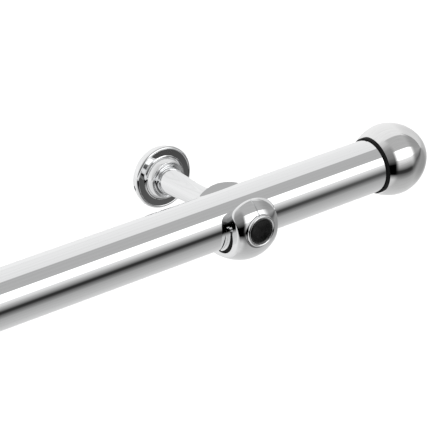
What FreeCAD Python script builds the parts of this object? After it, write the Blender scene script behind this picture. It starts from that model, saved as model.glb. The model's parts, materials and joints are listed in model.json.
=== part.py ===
"""Wall-mounted pool handrail: one straight tube, two open-topped cradle brackets, two ball end caps.

Frame: X runs along the rail, +Y points into the wall, +Z is up.  The origin is in the wall plane,
half-way between the brackets, level with the rail's axis.  All lengths are millimetres.
"""
import FreeCAD, Part
import math
import os

V = FreeCAD.Vector

# ---------------------------------------------------------------- driving dimensions
TUBE_OD = 43.0            # standard pool rail tube
TUBE_WALL = 2.0
TUBE_LENGTH = 1000.0
STANDOFF = 100.0          # wall plane to rail axis
BRACKET_X = 345.0         # each bracket's distance from the middle of the rail
BORE_GAP = 0.05           # cradle bore over the tube
SLIDE_GAP = 0.1           # radial gap of a piece that slides or turns
LOOSE_GAP = 0.3           # gap round a snap-in or push-on piece

# end cap, measured from its mouth outwards along the rail
CAP_OVERLAP = 18.5        # how far the tube reaches into the cap
CAP_LIP_R = 23.5
CAP_MAX_R = 29.0
CAP_MAX_AT = 19.0         # mouth to the widest section
CAP_DOME = 32.0           # widest section to the nose
CAP_DOME_POWER = 1.8      # below 2 makes the dome a little pointed
CAP_SEAT_R = 22.8         # recess for the seal ring
CAP_SEAT_DEPTH = 5.2
SEAL_PROUD = 2.2          # how far the seal ring stands out of the mouth
CAP_HOLLOW_R = 19.8
CAP_HOLLOW_END = 40.0
STUD_IN_PLUG = 22.0       # how far the stud reaches into the plug
STUD_IN_NOSE = 7.0
STUD_R = 4.0
PLUG_LENGTH = 24.0

# cradle: an egg turned about the stem's axis, cut back on both sides and open on top
EGG_FRONT = 36.8          # rail axis to the egg's (cut off) front pole
EGG_R = 31.8
EGG_POWER = 2.5
UPPER_HEIGHT = 0.82       # the upper front lobe is lower than the lower one
FACE_FRONT = 34.9         # rail axis to the flat the button sits on
CRADLE_HALF_WIDTH = 18.9
LIP_ANGLE = 40.0          # slope of the front lip
LIP_CROWN = 1.9           # how far the lip's middle stands above that slope
LIP_ARCH_R = 30.0
LIP_CORNER = 8.5
REAR_ANGLE = 44.0         # rear lip above the horizontal
REAR_TOP_R = 23.8
REAR_CORNER = 6.0
NECK_AT = 34.0            # rail axis to the joint between cradle and stem
NECK_R = 9.2
EDGE_ROUND = 2.4
LIP_ROUND = 2.5
SEAM_WIDTH = 1.1
SEAM_DEPTH = 1.2

# clamp inside the cradle's front wall
POCKET_R = 17.0
POCKET_SHIFT = 9.8
POCKET_ANGLE = -28.0
SHOE_THICKNESS = 2.8      # at the screw; it thins downwards
SHOE_SHIFT = 3.5          # its outer face is a circle set forward by this
SHOE_FROM = -61.0
SHOE_TO = 2.0
SHOE_HALF_WIDTH = 20.0
PIN_R = 1.6
PIN_ANGLE = 6.2
PIN_INNER = 6.5           # the pin is two stubs that clear the screw
PAD_HALF_WIDTH = 17.6
SCREW_R = 4.0             # M8 socket set screw, thread left plain
SCREW_FRONT = 30.8
SOCKET_ACROSS = 4.0       # hexagon socket, across flats

# button cover
BUTTON_R = 12.4
BUTTON_FRONT = 37.3
BUTTON_SEAT = 33.0
BUTTON_RIM = 2.0
BUTTON_DISH = 1.3
SPIGOT_R = 6.2
SPIGOT_END = 31.5
O_RING_R = 0.4

# wall end of the bracket; "out" is the distance from the wall plane
GASKET_THICKNESS = 1.5
PLATE_THICKNESS = 4.0
PLATE_R = 22.5
FIXING_SPACING = 24.0     # wall screw holes, on a square
FIXING_HOLE_R = 2.75
FIXING_SINK_R = 5.0
ROSETTE_BACK_R = 24.1
ROSETTE_MAX_R = 25.8
ROSETTE_RIM = 2.0
ROSETTE_FACE = 8.4        # out to the flat face
ROSETTE_HOLE_R = 11.6
GRUB_R = 1.5
GRUB_OUT = 3.3
GRUB_ANGLE = 188.0
GRUB_HOLE_R = 2.0
COLLAR_STEP_R = 18.2
COLLAR_FRONT = 14.8
COLLAR_LIP_R = 14.6
STEM_BASE_R = 11.3
STEM_WAIST_R = 8.7
STUD_M10_R = 5.0

TUBE_R = TUBE_OD / 2
BORE_R = TUBE_R + BORE_GAP
PLATE_OUT = GASKET_THICKNESS + PLATE_THICKNESS


# ---------------------------------------------------------------- helpers
def export(shape, node):
    """Write one node as a STEP file after a validity check."""
    if not shape.isValid():
        print("INVALID", node)
    shape.exportStep("parts/%s.step" % node)
    print("%-28s solids %d volume %.0f" % (node, len(shape.Solids), shape.Volume))


def chain(points):
    """Straight edges through (a, b) points, in order."""
    vectors = [V(a, b, 0) for a, b in points]
    return [Part.makeLine(p, q) for p, q in zip(vectors, vectors[1:])]


def smooth(points, start=None, end=None):
    """One smooth edge through (a, b) points, with optional end tangents."""
    curve = Part.BSplineCurve()
    vectors = [V(a, b, 0) for a, b in points]
    if start is None:
        curve.interpolate(vectors)
    else:
        curve.interpolate(Points=vectors, InitialTangent=V(start[0], start[1], 0),
                          FinalTangent=V(end[0], end[1], 0))
    return curve.toShape()


def arc(a, b, c):
    """Arc edge through three (a, b) points."""
    return Part.Arc(V(a[0], a[1], 0), V(b[0], b[1], 0), V(c[0], c[1], 0)).toShape()


def face_of(edges):
    return Part.Face(Part.Wire(Part.__sortEdges__(edges)))


def turn_about_x(edges):
    """Revolve a closed (x, radius) outline about the X axis."""
    return face_of(edges).revolve(V(0, 0, 0), V(1, 0, 0), 360)


def turn_about_y(edges):
    """Revolve a closed (radius, y) outline about the Y axis."""
    return face_of(edges).revolve(V(0, 0, 0), V(0, 1, 0), 360)


def closed(points):
    return chain(list(points) + [points[0]])


def rod_x(radius, x0, x1, y=0.0, z=0.0):
    return Part.makeCylinder(radius, x1 - x0, V(x0, y, z), V(1, 0, 0))


def rod_y(radius, y0, y1, x=0.0, z=0.0):
    return Part.makeCylinder(radius, y1 - y0, V(x, y0, z), V(0, 1, 0))


def tube_x(outer, inner, x0, x1):
    return rod_x(outer, x0, x1).cut(rod_x(inner, x0 - 1, x1 + 1))


def block(x0, x1, y0, y1, z0, z1):
    return Part.makeBox(x1 - x0, y1 - y0, z1 - z0, V(x0, y0, z0))


def hexagon_y(across, y0, y1):
    """Hexagonal prism along Y, for a socket."""
    radius = across / math.sqrt(3)
    corners = [V(radius * math.cos(math.radians(60 * i)), y0, radius * math.sin(math.radians(60 * i)))
               for i in range(7)]
    return Part.Face(Part.makePolygon(corners)).extrude(V(0, y1 - y0, 0))


def polar(radius, angle):
    """(y, z) at an angle above the horizontal, on the side that faces the room."""
    a = math.radians(angle)
    return -radius * math.cos(a), radius * math.sin(a)


def wedge_x(angle0, angle1, reach, half_length):
    """Prism along X between two polar angles, with its edge on the rail's axis."""
    steps = 6
    ring = [polar(reach, angle0 + (angle1 - angle0) * i / steps) for i in range(steps + 1)]
    corners = [V(-half_length, 0, 0)] + [V(-half_length, y, z) for y, z in ring]
    corners.append(corners[0])
    return Part.Face(Part.makePolygon(corners)).extrude(V(2 * half_length, 0, 0))


def moved(shape, x, y=0.0):
    copy = shape.copy()
    copy.translate(V(x, y, 0))
    return copy


def mirrored_x(shape):
    return shape.mirror(V(0, 0, 0), V(1, 0, 0))


# ---------------------------------------------------------------- rail and end caps
def rail_tube():
    half = TUBE_LENGTH / 2
    return tube_x(TUBE_R, TUBE_R - TUBE_WALL, -half, half)


def cap_outline():
    """Outer curve of the end cap as edges, from the lip to the nose, mouth at x = 0."""
    rise = CAP_MAX_R - CAP_LIP_R
    radius = (CAP_MAX_AT ** 2 + rise ** 2) / (2 * rise)
    middle = CAP_MAX_AT / 2
    middle_r = CAP_MAX_R - radius + math.sqrt(radius ** 2 - middle ** 2)
    body = arc((0, CAP_LIP_R), (middle, middle_r), (CAP_MAX_AT, CAP_MAX_R))
    steps = 8
    dome = []
    for i in range(steps + 1):
        t = math.pi / 2 * i / steps
        x = CAP_MAX_AT + CAP_DOME * math.sin(t) ** (2 / CAP_DOME_POWER)
        dome.append((x, CAP_MAX_R * max(math.cos(t), 0.0) ** (2 / CAP_DOME_POWER)))
    dome[-1] = (dome[-1][0], 0.0)
    return [body, smooth(dome, (1, 0), (0, -1))]


def end_cap():
    nose = CAP_MAX_AT + CAP_DOME
    socket_end = CAP_OVERLAP + 1.0
    socket_r = TUBE_R + SLIDE_GAP
    taper = 8.0
    inner = chain([(nose, 0), (CAP_HOLLOW_END, 0), (CAP_HOLLOW_END, CAP_HOLLOW_R - taper),
                   (CAP_HOLLOW_END - taper, CAP_HOLLOW_R), (socket_end, CAP_HOLLOW_R), (socket_end, socket_r),
                   (CAP_SEAT_DEPTH, socket_r), (CAP_SEAT_DEPTH, CAP_SEAT_R), (0, CAP_SEAT_R), (0, CAP_LIP_R)])
    solid = turn_about_x(cap_outline() + inner)
    return solid.cut(rod_x(STUD_R, CAP_HOLLOW_END - 1, CAP_HOLLOW_END + STUD_IN_NOSE))


def cap_seal():
    """Black ring in the mouth, standing a little proud of it."""
    inner_r = TUBE_R + SLIDE_GAP
    front = -SEAL_PROUD
    return turn_about_x(closed([(front, inner_r + 0.3), (front + 0.3, inner_r),
                                (CAP_SEAT_DEPTH, inner_r), (CAP_SEAT_DEPTH, CAP_SEAT_R),
                                (front + 0.6, CAP_SEAT_R), (front, CAP_SEAT_R - 0.6)]))


def cap_plug():
    """Nylon plug pressed into the tube's end."""
    end = CAP_OVERLAP
    radius = TUBE_R - TUBE_WALL
    body = turn_about_x(closed([(end - PLUG_LENGTH, 0), (end - PLUG_LENGTH, radius - 1.5),
                                (end - PLUG_LENGTH + 3, radius), (end, radius), (end, 0)]))
    return body.cut(rod_x(STUD_R + SLIDE_GAP, -PLUG_LENGTH, end + 1))


def cap_stud():
    return rod_x(STUD_R, CAP_OVERLAP - STUD_IN_PLUG, CAP_HOLLOW_END + STUD_IN_NOSE)


# ---------------------------------------------------------------- cradle (local frame, rail axis at y = 0)
def egg():
    """Body of the cradle, turned about the stem's axis."""
    t_front = math.asin((FACE_FRONT / EGG_FRONT) ** (EGG_POWER / 2))
    steps = 7
    front = []
    for i in range(steps + 1):
        t = t_front * (1 - i / steps)
        front.append((EGG_R * math.cos(t) ** (2 / EGG_POWER), -EGG_FRONT * math.sin(t) ** (2 / EGG_POWER)))
    rear = smooth([(EGG_R, 0), (29.6, 9.0), (24.6, 16.0), (17.2, 21.5), (11.6, 26.5), (NECK_R, NECK_AT)],
                  (0, 1), (0, 1))
    face_r = front[0][0]
    caps = chain([(NECK_R, NECK_AT), (0, NECK_AT), (0, -FACE_FRONT), (face_r, -FACE_FRONT)])
    return turn_about_y([smooth(front), rear] + caps)


def round_edges(shape, radius, wanted):
    """Fillet the edges that wanted() picks, in one go or, failing that, at smaller radii."""
    edges = [e for e in shape.Edges if wanted(e)]
    for factor in (1.0, 0.7, 0.45):
        try:
            result = shape.makeFillet(radius * factor, edges)
        except Part.OCCError:
            continue
        if result.isValid() and result.Solids:
            print("   rounded %d edges at %.2f" % (len(edges), radius * factor))
            return result
    print("   edges left sharp", len(edges))
    return shape


def on_side_face(edge):
    return all(abs(abs(p.x) - CRADLE_HALF_WIDTH) < 1e-3 for p in edge.discretize(7))


def on_front_lip(edge):
    """True for the edge where the front lip meets the outside."""
    points = edge.discretize(7)[1:-1]
    return all(p.y < -20 and p.z > 12 and abs(p.x) < CRADLE_HALF_WIDTH - 2 for p in points)


def lobe(height):
    """Egg cut flat on both sides, with its height scaled, and its side edges rounded."""
    w = CRADLE_HALF_WIDTH
    reach = 60.0
    shape = egg()
    if height != 1:
        matrix = FreeCAD.Matrix()
        matrix.scale(1, 1, height)
        shape = shape.transformGeometry(matrix)
    shape = shape.common(block(-w, w, -reach, reach, -reach, reach))
    return round_edges(shape, EDGE_ROUND, on_side_face)


def pocket(half_length):
    """Crescent behind the shoe, which ends at the pin."""
    y, z = polar(POCKET_SHIFT, POCKET_ANGLE)
    crescent = rod_x(POCKET_R, -half_length, half_length, y, z)
    crescent = crescent.common(wedge_x(SHOE_FROM - 14, PIN_ANGLE, 60, half_length + 1))
    y, z = polar(BORE_R + PIN_R, PIN_ANGLE)
    return crescent.fuse(rod_x(PIN_R, -half_length, half_length, y, z))


def skin_inside(depth):
    """What lies under the skin of the upper front lobe."""
    scale = (EGG_R - depth) / EGG_R
    matrix = FreeCAD.Matrix()
    matrix.scale(scale, scale, scale * UPPER_HEIGHT)
    return egg().transformGeometry(matrix)


def arched(half_width, crown, arch_r, corner, reach):
    """Prism along Z whose outline has an arched top, rounded corners and straight sides."""
    edge_y = crown - half_width ** 2 / (2 * arch_r)
    outline = [arc((-half_width, edge_y), (0, crown), (half_width, edge_y))]
    outline += chain([(half_width, edge_y), (half_width, -reach), (-half_width, -reach), (-half_width, edge_y)])
    prism = face_of(outline).extrude(V(0, 0, reach))
    corners = [e for e in prism.Edges
               if all(abs(abs(p.x) - half_width) < 1e-3 and abs(p.y - edge_y) < 1e-3 for p in e.discretize(3))]
    return prism.makeFillet(corner, corners)


def above_front_lip(reach):
    kept = arched(CRADLE_HALF_WIDTH + 0.1, LIP_CROWN, LIP_ARCH_R, LIP_CORNER, reach)
    space = block(-reach, reach, -14, reach, 0.5, reach).cut(kept)
    return space.rotate(V(0, 0, 0), V(1, 0, 0), 90 - LIP_ANGLE)


def above_rear_lip(reach):
    edge_y = REAR_TOP_R - math.sqrt(REAR_TOP_R ** 2 - CRADLE_HALF_WIDTH ** 2)
    arch_r = CRADLE_HALF_WIDTH ** 2 / (2 * edge_y)
    kept = arched(CRADLE_HALF_WIDTH + 0.1, REAR_TOP_R, arch_r, REAR_CORNER, reach)
    space = block(-reach, reach, 0, reach, 0, reach - 1).cut(kept)
    return space.rotate(V(0, 0, 0), V(1, 0, 0), 90).mirror(V(0, 0, 0), V(0, 1, 0))


def cradle():
    reach = 60.0
    upper_quarter = block(-reach, reach, -reach, 0, 0, reach)
    body = lobe(1).cut(upper_quarter).fuse(lobe(UPPER_HEIGHT).common(upper_quarter))
    body = body.cut(above_front_lip(reach))
    body = body.cut(above_rear_lip(reach))
    body = body.cut(wedge_x(LIP_ANGLE + 20, 180 - REAR_ANGLE, reach, reach))
    body = round_edges(body, LIP_ROUND, on_front_lip)
    body = body.cut(rod_x(BORE_R, -reach, reach))
    body = body.cut(pocket(reach)).cut(clamp_shoe())
    body = body.cut(rod_y(BUTTON_R + LOOSE_GAP, -FACE_FRONT - 5, -BUTTON_SEAT))
    body = body.cut(rod_y(SPIGOT_R + LOOSE_GAP, -BUTTON_SEAT - 1, -SPIGOT_END + LOOSE_GAP))
    body = body.cut(rod_y(SCREW_R + BORE_GAP, -SPIGOT_END - 1, -TUBE_R + 2))
    body = body.cut(rod_y(STUD_M10_R, NECK_AT - 9.5, NECK_AT + 1))
    seam = block(-SEAM_WIDTH / 2, SEAM_WIDTH / 2, -reach, -15, BUTTON_R - 1, reach)
    return body.cut(seam.cut(skin_inside(SEAM_DEPTH)))


def clamp_shoe():
    """Strip against the tube, thickest where the screw pushes."""
    w = SHOE_HALF_WIDTH
    inner_r = TUBE_R + BORE_GAP
    outer = rod_x(inner_r + SHOE_THICKNESS - SHOE_SHIFT, -w, w, -SHOE_SHIFT, 0)
    return outer.cut(rod_x(inner_r, -w - 1, w + 1)).common(wedge_x(SHOE_FROM, SHOE_TO, 40, 30))


def shoe_pin():
    """Pivot of the shoe: one short stub on each side of the screw."""
    y, z = polar(BORE_R + PIN_R, PIN_ANGLE)
    stubs = [rod_x(PIN_R, PIN_INNER, SHOE_HALF_WIDTH, y, z), rod_x(PIN_R, -SHOE_HALF_WIDTH, -PIN_INNER, y, z)]
    return Part.makeCompound(stubs)


def clamp_pad():
    """Rubber that fills the pocket behind the shoe."""
    body = pocket(PAD_HALF_WIDTH).cut(rod_x(BORE_R, -40, 40))
    body = body.cut(clamp_shoe()).cut(shoe_pin())
    body = body.cut(rod_y(SCREW_R + LOOSE_GAP, -60, 0))
    pieces = [s for s in body.Solids if s.Volume > 50]
    return Part.makeCompound(pieces) if len(pieces) > 1 else pieces[0]


def clamp_screw():
    tip = TUBE_R + BORE_GAP + SHOE_THICKNESS + SLIDE_GAP
    body = turn_about_y(closed([(0, -SCREW_FRONT), (SCREW_R - 0.6, -SCREW_FRONT), (SCREW_R, -SCREW_FRONT + 0.6),
                                (SCREW_R, -tip - 1.2), (SCREW_R - 1.2, -tip), (0, -tip)]))
    return body.cut(hexagon_y(SOCKET_ACROSS, -SCREW_FRONT - 1, -SCREW_FRONT + 3.5))


def button_cap():
    """Snap-in cover: bright rim, shallow dish, spigot behind."""
    rim_in = BUTTON_R - BUTTON_RIM
    front = -BUTTON_FRONT
    dish = front + BUTTON_DISH
    edges = [arc((BUTTON_R, front + 1.1), (BUTTON_R - 0.32, front + 0.32), (BUTTON_R - 1.1, front)),
             arc((BUTTON_R - 1.1, front), (rim_in + 0.35, front + 0.3), (rim_in, front + 0.9)),
             smooth([(rim_in, front + 0.9), (rim_in * 0.62, dish - 0.14), (0, dish)])]
    edges += chain([(0, dish), (0, -SPIGOT_END), (SPIGOT_R - 0.6, -SPIGOT_END), (SPIGOT_R - 0.6, -BUTTON_SEAT),
                    (BUTTON_R, -BUTTON_SEAT), (BUTTON_R, front + 1.1)])
    return turn_about_y(edges)


def button_ring():
    """O-ring on the spigot that holds the button in."""
    middle = -(BUTTON_SEAT + SPIGOT_END) / 2
    radius = SPIGOT_R - 0.6 + O_RING_R
    return Part.makeTorus(radius, O_RING_R, V(0, middle, 0), V(0, 1, 0))


# ---------------------------------------------------------------- stem and wall end (local frame, wall at y = 0)
def stem():
    neck = -(STANDOFF - NECK_AT)
    side = smooth([(STEM_BASE_R, -14.0), (10.1, -26.0), (9.1, -38.0), (STEM_WAIST_R, -50.0), (NECK_R, neck)],
                  (-0.03, -1), (0.05, -1))
    rest = chain([(NECK_R, neck), (0, neck), (0, -PLATE_OUT), (STEM_BASE_R, -PLATE_OUT), (STEM_BASE_R, -14.0)])
    body = turn_about_y([side] + rest)
    body = body.cut(rod_y(STUD_M10_R, -PLATE_OUT - 18, -PLATE_OUT + 1))
    return body.cut(rod_y(STUD_M10_R, neck - 1, neck + 14))


def base_stud():
    return rod_y(STUD_M10_R, -PLATE_OUT - 17, -GASKET_THICKNESS)


def cradle_stud():
    neck = -(STANDOFF - NECK_AT)
    return rod_y(STUD_M10_R, neck - 9, neck + 13)


def fixing_places():
    """Four holes at the corners of a square, clear of the grub screw."""
    offset = FIXING_SPACING / 2
    return [(x, z) for x in (-offset, offset) for z in (-offset, offset)]


def wall_gasket():
    disc = rod_y(PLATE_R - 0.5, -GASKET_THICKNESS, 0)
    for x, z in fixing_places():
        disc = disc.cut(rod_y(FIXING_HOLE_R, -10, 10, x, z))
    return disc


def wall_plate():
    disc = rod_y(PLATE_R, -PLATE_OUT, -GASKET_THICKNESS)
    depth = FIXING_SINK_R - FIXING_HOLE_R
    for x, z in fixing_places():
        disc = disc.cut(rod_y(FIXING_HOLE_R, -10, 10, x, z))
        sink = Part.makeCone(FIXING_SINK_R, FIXING_HOLE_R, depth, V(x, -PLATE_OUT, z), V(0, 1, 0))
        disc = disc.cut(sink)
    disc = disc.cut(rod_y(STUD_M10_R, -10, 10))
    return disc.cut(grub(GRUB_R, 16.0, 40.0))


def grub(radius, r0, r1):
    """Radial rod at the grub screw's place on the rosette."""
    a = math.radians(GRUB_ANGLE)
    direction = V(math.cos(a), 0, math.sin(a))
    start = V(r0 * math.cos(a), -GRUB_OUT, r0 * math.sin(a))
    return Part.makeCylinder(radius, r1 - r0, start, direction)


def rosette():
    """Turned cover over the wall plate: flared side, rounded rim, flat face, seat for the collar."""
    back = -0.4
    face = -ROSETTE_FACE
    rim_in = ROSETTE_MAX_R - ROSETTE_RIM
    shoulder = (ROSETTE_MAX_R, face + ROSETTE_RIM - 0.6)
    outside = [smooth([(ROSETTE_BACK_R, back), (25.0, -3.4), shoulder]),
               arc(shoulder, (ROSETTE_MAX_R - 0.5, face + 0.35), (rim_in, face - 0.2))]
    rest = chain([(rim_in, face - 0.2), (rim_in - 0.3, face), (ROSETTE_HOLE_R, face),
                  (ROSETTE_HOLE_R, -PLATE_OUT - 0.1), (PLATE_R + 0.1, -PLATE_OUT - 0.1),
                  (PLATE_R + 0.1, back), (ROSETTE_BACK_R, back)])
    return turn_about_y(outside + rest).cut(grub(GRUB_HOLE_R, 20.0, 40.0))


def rosette_grub():
    """Set screw that locks the rosette to the wall plate, with a small socket."""
    return grub(GRUB_R, 17.0, 24.0).cut(grub(GRUB_R / 2, 22.4, 30.0))


def collar():
    """Turned ring on the stem, with a step at its foot and a dished front round the stem."""
    foot = -ROSETTE_FACE
    front = -COLLAR_FRONT
    step = foot - 1.1
    stem_r = STEM_BASE_R + 0.1
    outside = chain([(COLLAR_STEP_R, foot), (COLLAR_STEP_R, step + 0.3), (COLLAR_STEP_R - 0.3, step),
                     (COLLAR_STEP_R - 1.0, step)])
    outside.append(smooth([(COLLAR_STEP_R - 1.0, step), (16.3, -12.0), (COLLAR_LIP_R + 0.7, front + 0.7)]))
    outside.append(arc((COLLAR_LIP_R + 0.7, front + 0.7), (COLLAR_LIP_R, front), (COLLAR_LIP_R - 0.8, front + 0.5)))
    inside = [smooth([(COLLAR_LIP_R - 0.8, front + 0.5), (13.0, front + 1.5), (stem_r, front + 2.0)])]
    inside += chain([(stem_r, front + 2.0), (stem_r, foot), (COLLAR_STEP_R, foot)])
    return turn_about_y(outside + inside)


# ---------------------------------------------------------------- assembly
def main():
    os.makedirs("parts", exist_ok=True)
    export(moved(rail_tube(), 0, -STANDOFF), "rail_tube")
    mouth = TUBE_LENGTH / 2 - CAP_OVERLAP
    at_mouth = {"end_cap": end_cap(), "cap_seal": cap_seal(), "cap_plug": cap_plug(), "cap_stud": cap_stud()}
    at_cradle = {"cradle": cradle(), "clamp_shoe": clamp_shoe(), "shoe_pin": shoe_pin(),
                 "clamp_pad": clamp_pad(), "clamp_screw": clamp_screw(), "button_cap": button_cap(),
                 "button_ring": button_ring()}
    at_wall = {"stem": stem(), "base_stud": base_stud(), "cradle_stud": cradle_stud(),
               "wall_gasket": wall_gasket(), "wall_plate": wall_plate(), "rosette": rosette(),
               "rosette_grub": rosette_grub(), "collar": collar()}
    groups = ((at_mouth, mouth, -STANDOFF), (at_cradle, BRACKET_X, -STANDOFF), (at_wall, BRACKET_X, 0))
    for pieces, x, y in groups:
        for name, shape in pieces.items():
            right = moved(shape, x, y)
            export(right, "right_%s" % name)
            export(mirrored_x(right), "left_%s" % name)


main()
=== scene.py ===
"""Looks of the wall-mounted pool handrail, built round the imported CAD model.

Every CAD node keeps its own shape.  This script gives each one a material, adds the dark inlays of the
two buttons, and sets up a studio: a pale floor, one soft lamp and a grey surround with a long soft box.
"""
import json
import math

import bpy
from mathutils import Matrix, Vector


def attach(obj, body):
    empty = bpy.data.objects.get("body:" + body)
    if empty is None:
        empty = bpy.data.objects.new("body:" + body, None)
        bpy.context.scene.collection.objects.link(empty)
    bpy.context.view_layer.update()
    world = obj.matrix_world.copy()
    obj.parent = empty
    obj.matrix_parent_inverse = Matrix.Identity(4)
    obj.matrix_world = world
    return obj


# ---------------------------------------------------------------- sizes and places, in metres and degrees
RAIL_Y = -0.100             # the rail's axis in front of the wall
BRACKET_X = 0.345
SIDES = {"left": -1, "right": 1}

CAMERA_AZIMUTH = -34.8
CAMERA_ELEVATION = 26.0
CAMERA_ROLL = -3.0
CAMERA_DISTANCE = 1.5383
CAMERA_LENS = 163.05
CAMERA_AIM = (0.0065, 0.0066)   # the right bracket's place in the picture, right of and above its middle

# the end caps' steel gets painted shade, a darker grey, on the walls inside these bounds
CAP_INSIDE_R = 0.0222       # walls nearer the rail's axis than this, and nearer the rail's middle
CAP_INSIDE_END = 0.519      # than this, are inside an end cap

FLOOR_Z = -1.80
FLOOR_SIZE = 30.0

# dark inlay in each button's dish
INLAY_R = 0.0100
INLAY_MIDDLE = 0.03616      # from the rail's axis to the middle of its face
INLAY_RISE = 0.00044        # how much further forward its edge is
INLAY_THICKNESS = 0.00008
INLAY_RINGS = 6
INLAY_SEGMENTS = 72

# ---------------------------------------------------------------- looks
STEEL_TINT = (0.93, 0.935, 0.94, 1)
STEEL_POLISH = (0.015, 0.055)       # lowest and highest roughness
STEEL_WAVINESS = 0.02
CAP_OUTSIDE_GREY = 0.935
# painted shade: grey of the steel walls inside an end cap, darker than the same steel outside
CAP_INSIDE_PAINTED_SHADE = 0.30
CAP_INSIDE_ROUGHNESS = 0.45
FLOOR_GREYS = (0.80, 0.84)
LAMP_ENERGY = 2.6
LAMP_SPREAD = 60                    # degrees
LAMP_TURN = (-20, -15, 0)           # degrees
STREAK_SCALE = (110, 1.6, 1)
STREAK_STRENGTH = (0.84, 1.16)


# ---------------------------------------------------------------- node helpers
def new_material(name):
    material = bpy.data.materials.new(name)
    material.use_nodes = True
    tree = material.node_tree
    return material, tree, shader_of(tree)


def shader_of(tree):
    return next(n for n in tree.nodes if n.type == "BSDF_PRINCIPLED")


def add(tree, kind, **settings):
    """A new node with some of its properties or input values set."""
    node = tree.nodes.new(kind)
    for key, value in settings.items():
        if key in node.inputs:
            node.inputs[key].default_value = value
        else:
            setattr(node, key, value)
    return node


def ramp(tree, stops):
    """Linear colour ramp from (position, grey) pairs."""
    node = tree.nodes.new("ShaderNodeValToRGB")
    elements = node.color_ramp.elements
    while len(elements) > 1:
        elements.remove(elements[-1])
    for i, (position, grey) in enumerate(stops):
        element = elements[0] if i == 0 else elements.new(position)
        element.position = position
        element.color = (grey, grey, grey, 1)
    return node


def object_noise(tree, scale, detail=2.0, stretch=(1, 1, 1)):
    """Noise in the object's own coordinates, in cycles per metre."""
    place = add(tree, "ShaderNodeTexCoord")
    mapping = add(tree, "ShaderNodeMapping")
    mapping.inputs["Scale"].default_value = stretch
    noise = add(tree, "ShaderNodeTexNoise", Scale=scale, Detail=detail)
    tree.links.new(place.outputs["Object"], mapping.inputs["Vector"])
    tree.links.new(mapping.outputs["Vector"], noise.inputs["Vector"])
    return noise


def between(tree, source, low, high):
    """source, which runs from 0 to 1, spread over low to high."""
    node = add(tree, "ShaderNodeMapRange")
    node.inputs["To Min"].default_value = low
    node.inputs["To Max"].default_value = high
    tree.links.new(source, node.inputs["Value"])
    return node.outputs["Result"]


def bump(tree, shader, height, strength, distance):
    node = add(tree, "ShaderNodeBump", Strength=strength, Distance=distance)
    tree.links.new(height, node.inputs["Height"])
    tree.links.new(node.outputs["Normal"], shader.inputs["Normal"])


# ---------------------------------------------------------------- materials
def polished_steel(name):
    """Mirror-polished stainless steel: a slow waviness left by the wheel, and faint wiped patches."""
    material, tree, shader = new_material(name)
    shader.inputs["Metallic"].default_value = 1.0
    shader.inputs["Base Color"].default_value = STEEL_TINT
    wiped = object_noise(tree, 38.0, 4.0)
    tree.links.new(between(tree, wiped.outputs["Fac"], *STEEL_POLISH), shader.inputs["Roughness"])
    wave = object_noise(tree, 55.0, 1.0)
    bump(tree, shader, wave.outputs["Fac"], STEEL_WAVINESS, 0.001)
    return material


def cap_steel():
    """Polished like the rest outside. On the turned walls inside the end cap it is rougher and painted a
    darker grey, which is painted shade in the hollow.
    """
    material = polished_steel("polished_steel_cap_painted_shade_inside")
    tree = material.node_tree
    links = tree.links
    shader = shader_of(tree)
    place = add(tree, "ShaderNodeTexCoord")
    across = add(tree, "ShaderNodeVectorMath", operation="MULTIPLY_ADD")
    across.inputs[1].default_value = (0, 1, 1)
    across.inputs[2].default_value = (0, -RAIL_Y, 0)
    links.new(place.outputs["Object"], across.inputs[0])
    radius = add(tree, "ShaderNodeVectorMath", operation="LENGTH")
    links.new(across.outputs["Vector"], radius.inputs[0])
    near_axis = add(tree, "ShaderNodeMath", operation="LESS_THAN")
    near_axis.inputs[1].default_value = CAP_INSIDE_R
    links.new(radius.outputs["Value"], near_axis.inputs[0])
    split = add(tree, "ShaderNodeSeparateXYZ")
    links.new(place.outputs["Object"], split.inputs["Vector"])
    distance = add(tree, "ShaderNodeMath", operation="ABSOLUTE")
    links.new(split.outputs["X"], distance.inputs[0])
    before_nose = add(tree, "ShaderNodeMath", operation="LESS_THAN")
    before_nose.inputs[1].default_value = CAP_INSIDE_END
    links.new(distance.outputs["Value"], before_nose.inputs[0])
    inside = add(tree, "ShaderNodeMath", operation="MULTIPLY")
    links.new(near_axis.outputs["Value"], inside.inputs[0])
    links.new(before_nose.outputs["Value"], inside.inputs[1])
    # painted shade inside the end cap: the outside grey where inside is 0, the darker painted-shade grey
    # where it is 1
    tint = ramp(tree, [(0.0, CAP_OUTSIDE_GREY), (1.0, CAP_INSIDE_PAINTED_SHADE)])
    links.new(inside.outputs["Value"], tint.inputs["Fac"])
    links.new(tint.outputs["Color"], shader.inputs["Base Color"])
    polish = shader.inputs["Roughness"].links[0].from_socket
    rough = add(tree, "ShaderNodeMath", operation="MAXIMUM")
    links.new(polish, rough.inputs[0])
    links.new(between(tree, inside.outputs["Value"], 0.0, CAP_INSIDE_ROUGHNESS), rough.inputs[1])
    links.new(rough.outputs["Value"], shader.inputs["Roughness"])
    return material


def plain_steel():
    """Turned or rolled steel that isn't on show."""
    material, tree, shader = new_material("plain_steel")
    shader.inputs["Metallic"].default_value = 1.0
    shader.inputs["Base Color"].default_value = (0.5, 0.5, 0.51, 1)
    grain = object_noise(tree, 400.0, 3.0, (1, 6, 6))
    tree.links.new(between(tree, grain.outputs["Fac"], 0.25, 0.45), shader.inputs["Roughness"])
    bump(tree, shader, grain.outputs["Fac"], 0.15, 0.0002)
    return material


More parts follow.
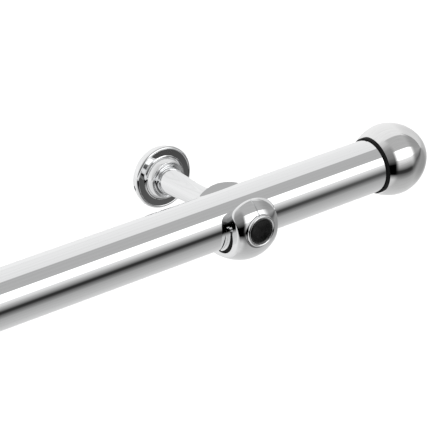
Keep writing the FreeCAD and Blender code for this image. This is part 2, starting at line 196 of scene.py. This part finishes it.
def matt_black(name, grey, rough, grain_scale):
    """Rubber or nylon: nearly black, with a fine moulded grain."""
    material, tree, shader = new_material(name)
    grain = object_noise(tree, grain_scale, 3.0)
    tint = ramp(tree, [(0.3, grey * 0.7), (0.7, grey * 1.4)])
    tree.links.new(grain.outputs["Fac"], tint.inputs["Fac"])
    tree.links.new(tint.outputs["Color"], shader.inputs["Base Color"])
    polish = between(tree, grain.outputs["Fac"], rough - 0.08, rough + 0.08)
    tree.links.new(polish, shader.inputs["Roughness"])
    shader.inputs["Specular IOR Level"].default_value = 0.2
    bump(tree, shader, grain.outputs["Fac"], 0.2, 0.0003)
    return material


def gloss_black():
    """Glossy black of the button inlays, with a faint cloudy sheen."""
    material, tree, shader = new_material("gloss_black")
    cloud = object_noise(tree, 220.0, 2.0)
    tint = ramp(tree, [(0.35, 0.004), (0.7, 0.012)])
    tree.links.new(cloud.outputs["Fac"], tint.inputs["Fac"])
    tree.links.new(tint.outputs["Color"], shader.inputs["Base Color"])
    shader.inputs["Roughness"].default_value = 0.12
    return material


# ---------------------------------------------------------------- studio
# Brightness of the surround by angle round the rail's axis: 0 faces the room, 90 is up, 180 faces the wall.
WALL = 0.9
WALL_TOP = 0.8
FLOOR_NEAR = 0.4            # the floor darkens from the wall to the room
BOX_SPILL = 0.9             # light just below the soft box
CEILING = 0.45
SOFT_BOX = 1.6
BOX_FROM = 17
BOX_TO = 44
STEP = 2                    # degrees over which one level changes to the next
NEAR_GLOOM = 0.03           # brightness of the dark strip in the middle of the room
FAR_GLOOM = 0.1             # and further right

# Where one zone turns into the next: the reflected direction's x at the start and the end of the change.
LEFT_TO_MIDDLE = (-0.2, 0.0)
MIDDLE_TO_FAR = (0.5, 0.6)
FAR_TO_RIGHT = (0.6, 0.9)


def room(gloom):
    """Stops of the middle of the studio, with a dark strip of brightness gloom below the soft box."""
    return [(-180, WALL), (-50, FLOOR_NEAR), (-25, gloom), (-18, gloom), (BOX_FROM - STEP, BOX_SPILL),
            (BOX_FROM, SOFT_BOX), (BOX_TO, SOFT_BOX), (BOX_TO + STEP, CEILING), (90, CEILING),
            (90 + STEP, WALL_TOP), (180, WALL)]


def dark_end():
    """Stops of the left-hand end: no soft box, and a black opening in front."""
    return [(-180, WALL), (-45, 0.6), (-27, 0.0), (5, 0.0), (30, 0.2), (60, 0.3), (100, WALL_TOP),
            (180, WALL)]


def dim_end():
    """Stops of the right-hand end: shaded from the soft box by a screen."""
    return [(-180, 0.65), (-110, 0.3), (-40, 0.3), (-10, 0.1), (20, 0.35), (100, 0.3), (100 + STEP, 0.7),
            (180, 0.65)]


def surround():
    """Grey studio seen in the polish: bands parallel to the rail, with darker left- and right-hand ends."""
    world = bpy.data.worlds.new("studio")
    bpy.context.scene.world = world
    world.use_nodes = True
    tree = world.node_tree
    tree.nodes.clear()
    links = tree.links
    place = add(tree, "ShaderNodeTexCoord")
    split = add(tree, "ShaderNodeSeparateXYZ")
    links.new(place.outputs["Generated"], split.inputs["Vector"])
    front = add(tree, "ShaderNodeMath", operation="MULTIPLY")
    front.inputs[1].default_value = -1.0
    links.new(split.outputs["Y"], front.inputs[0])
    angle = add(tree, "ShaderNodeMath", operation="ARCTAN2")
    links.new(split.outputs["Z"], angle.inputs[0])
    links.new(front.outputs["Value"], angle.inputs[1])
    turn = add(tree, "ShaderNodeMapRange")
    turn.inputs["From Min"].default_value = -math.pi
    turn.inputs["From Max"].default_value = math.pi
    links.new(angle.outputs["Value"], turn.inputs["Value"])

    def bands(stops):
        node = ramp(tree, [((degrees + 180) / 360, grey) for degrees, grey in stops])
        links.new(turn.outputs["Result"], node.inputs["Fac"])
        return node.outputs["Color"]

    def rightwards(colour, other, start, end):
        """colour where the direction's x is below start, other where it is above end."""
        share = add(tree, "ShaderNodeMapRange", interpolation_type="SMOOTHSTEP")
        share.inputs["From Min"].default_value = start
        share.inputs["From Max"].default_value = end
        links.new(split.outputs["X"], share.inputs["Value"])
        mix = add(tree, "ShaderNodeMix", data_type="RGBA")
        links.new(share.outputs["Result"], mix.inputs["Factor"])
        links.new(colour, mix.inputs["A"])
        links.new(other, mix.inputs["B"])
        return mix.outputs["Result"]

    shade = rightwards(bands(dark_end()), bands(room(NEAR_GLOOM)), *LEFT_TO_MIDDLE)
    shade = rightwards(shade, bands(room(FAR_GLOOM)), *MIDDLE_TO_FAR)
    shade = rightwards(shade, bands(dim_end()), *FAR_TO_RIGHT)
    seen = add(tree, "ShaderNodeBackground")
    links.new(shade, seen.inputs["Color"])
    links.new(streaks(tree, turn.outputs["Result"], split.outputs["X"]), seen.inputs["Strength"])
    plain = add(tree, "ShaderNodeBackground", Strength=1.0)
    plain.inputs["Color"].default_value = (1, 1, 1, 1)
    ray = add(tree, "ShaderNodeLightPath")
    mix = add(tree, "ShaderNodeMixShader")
    output = add(tree, "ShaderNodeOutputWorld")
    links.new(ray.outputs["Is Camera Ray"], mix.inputs["Fac"])
    links.new(seen.outputs["Background"], mix.inputs[1])
    links.new(plain.outputs["Background"], mix.inputs[2])
    links.new(mix.outputs["Shader"], output.inputs["Surface"])


def streaks(tree, turn, along):
    """Strength that wavers a little from band to band, for fine lines along the tube."""
    place = add(tree, "ShaderNodeCombineXYZ")
    tree.links.new(turn, place.inputs["X"])
    tree.links.new(along, place.inputs["Y"])
    stretch = add(tree, "ShaderNodeMapping")
    stretch.inputs["Scale"].default_value = STREAK_SCALE
    tree.links.new(place.outputs["Vector"], stretch.inputs["Vector"])
    noise = add(tree, "ShaderNodeTexNoise", Scale=1.0, Detail=3.0)
    tree.links.new(stretch.outputs["Vector"], noise.inputs["Vector"])
    return between(tree, noise.outputs["Fac"], *STREAK_STRENGTH)


def studio():
    """Surround, pale floor and one soft overhead lamp.  The polish mirrors the surround only."""
    surround()
    bpy.ops.mesh.primitive_plane_add(size=FLOOR_SIZE, location=(0, 0, FLOOR_Z))
    floor = bpy.context.object
    floor.name = "floor"
    material, tree, shader = new_material("floor_paper")
    mottle = object_noise(tree, 0.6, 2.0)
    shade = ramp(tree, [(0.35, FLOOR_GREYS[0]), (0.65, FLOOR_GREYS[1])])
    tree.links.new(mottle.outputs["Fac"], shade.inputs["Fac"])
    tree.links.new(shade.outputs["Color"], shader.inputs["Base Color"])
    shader.inputs["Roughness"].default_value = 0.9
    floor.data.materials.append(material)
    floor.visible_glossy = False
    lamp = bpy.data.lights.new("overhead", "SUN")
    lamp.energy = LAMP_ENERGY
    lamp.angle = math.radians(LAMP_SPREAD)
    overhead = bpy.data.objects.new("overhead", lamp)
    overhead.rotation_euler = [math.radians(degrees) for degrees in LAMP_TURN]
    overhead.visible_glossy = False
    bpy.context.scene.collection.objects.link(overhead)


def camera():
    """Camera that puts the right bracket's centre on the rail's axis at CAMERA_AIM in the picture."""
    azimuth = math.radians(CAMERA_AZIMUTH)
    elevation = math.radians(CAMERA_ELEVATION)
    roll = math.radians(CAMERA_ROLL)
    back = Vector((math.sin(azimuth) * math.cos(elevation), -math.cos(azimuth) * math.cos(elevation),
                   math.sin(elevation)))
    level = Vector((math.cos(azimuth), math.sin(azimuth), 0))
    rise = back.cross(level)
    right = math.cos(roll) * level + math.sin(roll) * rise
    up = math.cos(roll) * rise - math.sin(roll) * level
    target = Vector((BRACKET_X, RAIL_Y, 0))
    place = target - CAMERA_AIM[0] * right - CAMERA_AIM[1] * up + CAMERA_DISTANCE * back
    data = bpy.data.cameras.new("camera")
    data.lens = CAMERA_LENS
    data.sensor_width = 36.0
    data.clip_start = 0.01
    data.clip_end = 100.0
    eye = bpy.data.objects.new("camera", data)
    bpy.context.scene.collection.objects.link(eye)
    axes = Matrix((right, up, back)).transposed().to_4x4()
    eye.matrix_world = Matrix.Translation(place) @ axes
    bpy.context.scene.camera = eye


# ---------------------------------------------------------------- pieces
def dress(frame):
    """Give each CAD node its material, by its slot in the record."""
    looks = {
        "polished_steel": polished_steel("polished_steel"),
        "plain_steel": plain_steel(),
        "black_rubber": matt_black("black_rubber", 0.004, 0.6, 900.0),
        "nylon": matt_black("nylon", 0.03, 0.45, 600.0),
    }
    cap_look = cap_steel()
    slots = {part["node"]: part["material_slot"] for part in frame["record"]["subparts"]}
    for node, piece in frame["nodes"].items():
        piece.data.materials.clear()
        piece.data.materials.append(cap_look if node.endswith("end_cap") else looks[slots[node]])
    black = gloss_black()
    for side in SIDES:
        inlay(side, black)


def inlay(side, material):
    """Thin dished disc lying in the button's dish, as a closed mesh."""
    front = []
    for i in range(INLAY_RINGS + 1):
        share = 1 - i / INLAY_RINGS
        front.append((INLAY_R * share, RAIL_Y - INLAY_MIDDLE - INLAY_RISE * share ** 2))
    back = [(radius, y + INLAY_THICKNESS) for radius, y in reversed(front)]
    vertices = []
    rings = []
    for radius, y in back + front:
        if radius == 0:
            rings.append([len(vertices)])
            vertices.append((0.0, y, 0.0))
            continue
        rings.append(list(range(len(vertices), len(vertices) + INLAY_SEGMENTS)))
        for k in range(INLAY_SEGMENTS):
            turn = 2 * math.pi * k / INLAY_SEGMENTS
            vertices.append((radius * math.cos(turn), y, radius * math.sin(turn)))
    faces = []
    for inner, outer in zip(rings, rings[1:]):
        for k in range(INLAY_SEGMENTS):
            following = (k + 1) % INLAY_SEGMENTS
            loop = [inner[k % len(inner)], inner[following % len(inner)],
                    outer[following % len(outer)], outer[k % len(outer)]]
            faces.append(list(dict.fromkeys(loop)))
    mesh = bpy.data.meshes.new(side + "_button_inlay")
    mesh.from_pydata(vertices, [], faces)
    mesh.polygons.foreach_set("use_smooth", [True] * len(mesh.polygons))
    mesh.materials.append(material)
    disc = bpy.data.objects.new(side + "_button_inlay", mesh)
    disc.location.x = SIDES[side] * BRACKET_X
    bpy.context.scene.collection.objects.link(disc)
    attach(disc, side + "_button")


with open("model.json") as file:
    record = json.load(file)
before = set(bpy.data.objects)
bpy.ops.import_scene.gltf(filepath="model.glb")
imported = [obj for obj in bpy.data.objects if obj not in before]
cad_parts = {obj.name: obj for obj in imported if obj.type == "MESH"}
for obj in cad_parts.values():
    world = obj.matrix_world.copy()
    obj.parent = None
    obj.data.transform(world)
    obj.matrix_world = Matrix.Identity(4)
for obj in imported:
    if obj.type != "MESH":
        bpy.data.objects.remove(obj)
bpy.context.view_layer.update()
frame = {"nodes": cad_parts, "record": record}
bpy.context.scene.view_settings.view_transform = "Standard"
camera()
studio()
dress(frame)
